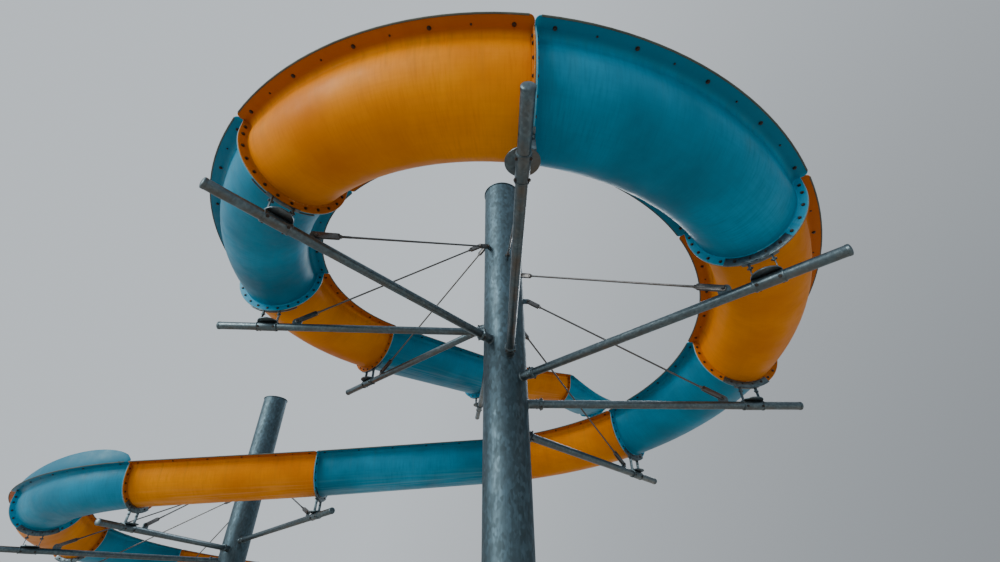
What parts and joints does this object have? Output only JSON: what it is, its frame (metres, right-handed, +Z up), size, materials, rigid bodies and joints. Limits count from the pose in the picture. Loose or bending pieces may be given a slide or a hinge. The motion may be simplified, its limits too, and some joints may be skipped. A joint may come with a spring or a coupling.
{
  "type": "water slide tower",
  "caption": "Open half-round body slide that winds round a steel column on bracket arms with tie rods, crosses to a second column and turns below it.",
  "frame": {"origin": "middle of the main column foot, on the ground", "axes": "+Z up; the picture looks along +Y from the ground near the column; the second column stands towards -X and +Y"},
  "size_m": [12.2459, 12.3155, 6.7303],
  "materials": {
    "blue_gelcoat": "glossy gelcoat on fibreglass, faintly streaked",
    "orange_gelcoat": "glossy gelcoat on fibreglass, faintly streaked",
    "column_steel": "galvanised, mottled spangle, weathered",
    "arm_steel": "galvanised, dull, weathered",
    "rod_steel": "galvanised rod and turnbuckle, dull"
  },
  "bodies": {
    "root": {"main_column": "column_steel", "main_column_base": "column_steel", "main_column_cap": "column_steel", "lower_column": "column_steel", "lower_column_base": "column_steel", "lower_column_cap": "column_steel", "flume_01": "blue_gelcoat", "flume_02": "orange_gelcoat", "flume_03": "blue_gelcoat", "flume_04": "orange_gelcoat", "flume_05": "blue_gelcoat", "flume_06": "orange_gelcoat", "flume_07": "blue_gelcoat", "flume_08": "orange_gelcoat", "flume_09": "blue_gelcoat", "flume_10": "orange_gelcoat", "flume_11": "blue_gelcoat", "flume_12": "orange_gelcoat", "flume_13": "blue_gelcoat", "flume_14": "orange_gelcoat", "flume_15": "blue_gelcoat", "flume_16": "orange_gelcoat", "splash_guard": "blue_gelcoat", "arm_02": "arm_steel", "tie_rod_02": "rod_steel", "arm_03": "arm_steel", "tie_rod_03": "rod_steel", "arm_04": "arm_steel", "tie_rod_04": "rod_steel", "arm_05": "arm_steel", "tie_rod_05": "rod_steel", "arm_06": "arm_steel", "tie_rod_06": "rod_steel", "arm_07": "arm_steel", "tie_rod_07": "rod_steel", "arm_08": "arm_steel", "tie_rod_08": "rod_steel", "arm_09": "arm_steel", "tie_rod_09": "rod_steel", "arm_10": "arm_steel", "tie_rod_10": "rod_steel", "arm_11": "arm_steel", "tie_rod_11": "rod_steel", "arm_12": "arm_steel", "tie_rod_12": "rod_steel", "arm_13": "arm_steel", "tie_rod_13": "rod_steel", "arm_14": "arm_steel", "tie_rod_14": "rod_steel", "arm_15": "arm_steel", "tie_rod_15": "rod_steel"}
  },
  "joints": []
}
